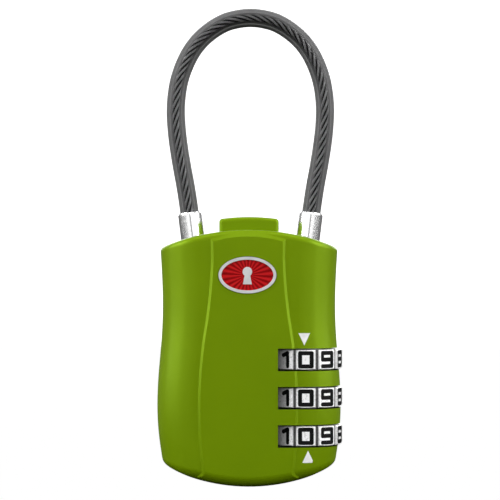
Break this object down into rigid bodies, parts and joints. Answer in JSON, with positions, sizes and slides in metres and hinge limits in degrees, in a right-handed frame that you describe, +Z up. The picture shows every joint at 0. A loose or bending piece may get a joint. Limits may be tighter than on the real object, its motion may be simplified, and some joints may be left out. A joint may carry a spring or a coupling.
{
  "type": "cable luggage lock",
  "caption": "Luggage padlock with number dials, a push button and a flexible cable loop, built with its latch, code sleeves and reset spindle inside.",
  "frame": {"origin": "inside top of the cable loop, where the lock hangs on what it is put through", "axes": "+Z up along the case, the front with the dials' numbers faces -Y, the dials are on the +X side"},
  "size_m": [0.0314, 0.0128, 0.0808],
  "materials": {
    "case_paint": "satin lime green paint on die-cast zinc",
    "button_paint": "satin lime green paint",
    "mark_paint": "white index paint",
    "badge_silver": "polished nickel",
    "badge_enamel": "red enamel",
    "steel_pins": "satin",
    "ferrule_chrome": "polished",
    "cable_vinyl": "smoke grey clear vinyl",
    "cable_steel": "twisted wire",
    "spring_steel": "drawn wire",
    "latch_steel": "stamped",
    "dial_chrome": "polished",
    "numeral_paint": "black fill",
    "sleeve_zinc": "as cast",
    "cylinder_brass": "turned",
    "plug_nickel": "nickel plated"
  },
  "bodies": {
    "root": {"front_shell": "case_paint", "rear_shell": "case_paint", "shell_pins": "steel_pins", "fixed_end_pin": "steel_pins", "fixed_end_ferrule": "ferrule_chrome", "cable_jacket": "cable_vinyl", "wire_rope": "cable_steel", "index_marks": "mark_paint", "badge_bezel": "badge_silver", "badge_enamel": "badge_enamel", "button_spring": "spring_steel", "latch_spring": "spring_steel", "spindle_spring": "spring_steel", "detent_spring": "spring_steel", "key_cylinder_housing": "cylinder_brass"},
    "button": {"push_button": "button_paint"},
    "latch": {"latch_plate": "latch_steel"},
    "free_end": {"free_end_ferrule": "ferrule_chrome"},
    "reset": {"reset_spindle": "latch_steel", "spindle_clip": "spring_steel"},
    "key": {"key_plug": "plug_nickel", "key_wafers": "cylinder_brass", "key_cam": "latch_steel", "key_cam_clip": "spring_steel"},
    "dial_1": {"dial_1": "dial_chrome", "dial_numerals_1": "numeral_paint"},
    "sleeve_1": {"code_sleeve_1": "sleeve_zinc"},
    "dial_2": {"dial_2": "dial_chrome", "dial_numerals_2": "numeral_paint"},
    "sleeve_2": {"code_sleeve_2": "sleeve_zinc"},
    "dial_3": {"dial_3": "dial_chrome", "dial_numerals_3": "numeral_paint"},
    "sleeve_3": {"code_sleeve_3": "sleeve_zinc"}
  },
  "joints": [
    {"name": "button_press", "type": "slide", "parent": "root", "child": "button", "axis": [0, 0, 1], "range_m": [-0.002, 0], "stiffness_N_per_m": 350, "springref_m": 0.0004, "deforming": ["button_spring"]},
    {"name": "latch_slide", "type": "slide", "parent": "root", "child": "latch", "axis": [1, 0, 0], "range_m": [0, 0.002], "deforming": ["latch_spring"]},
    {"name": "free_end_lift", "type": "slide", "parent": "root", "child": "free_end", "axis": [-0.1219, 0, 0.9925], "range_m": [0, 0.01], "deforming": ["cable_jacket", "wire_rope"]},
    {"name": "reset_slide", "type": "slide", "parent": "root", "child": "reset", "axis": [0, 0, 1], "range_m": [0, 0.0015], "stiffness_N_per_m": 300, "springref_m": -0.0004, "deforming": ["spindle_spring"]},
    {"name": "key_turn", "type": "hinge", "parent": "root", "child": "key", "pos_m": [-0.005, 0, -0.07103], "axis": [0, 0, 1], "range_deg": [-90, 0]},
    {"name": "dial_1_spin", "type": "hinge", "parent": "root", "child": "dial_1", "pos_m": [0.00953, 0, -0.05632], "axis": [0, 0, 1], "continuous": true},
    {"name": "sleeve_1_lift", "type": "slide", "parent": "dial_1", "child": "sleeve_1", "axis": [0, 0, 1], "range_m": [0, 0.0015]},
    {"name": "dial_2_spin", "type": "hinge", "parent": "root", "child": "dial_2", "pos_m": [0.00953, 0, -0.06273], "axis": [0, 0, 1], "continuous": true},
    {"name": "sleeve_2_lift", "type": "slide", "parent": "dial_2", "child": "sleeve_2", "axis": [0, 0, 1], "range_m": [0, 0.0015]},
    {"name": "dial_3_spin", "type": "hinge", "parent": "root", "child": "dial_3", "pos_m": [0.00953, 0, -0.06914], "axis": [0, 0, 1], "continuous": true},
    {"name": "sleeve_3_lift", "type": "slide", "parent": "dial_3", "child": "sleeve_3", "axis": [0, 0, 1], "range_m": [0, 0.0015]}
  ],
  "couplings": [
    {"joint": "latch_slide", "follows": "button_press", "ratio": -1},
    {"joint": "free_end_lift", "follows": "button_press", "ratio": -5},
    {"joint": "sleeve_1_lift", "follows": "reset_slide", "ratio": 1},
    {"joint": "sleeve_2_lift", "follows": "reset_slide", "ratio": 1},
    {"joint": "sleeve_3_lift", "follows": "reset_slide", "ratio": 1}
  ]
}
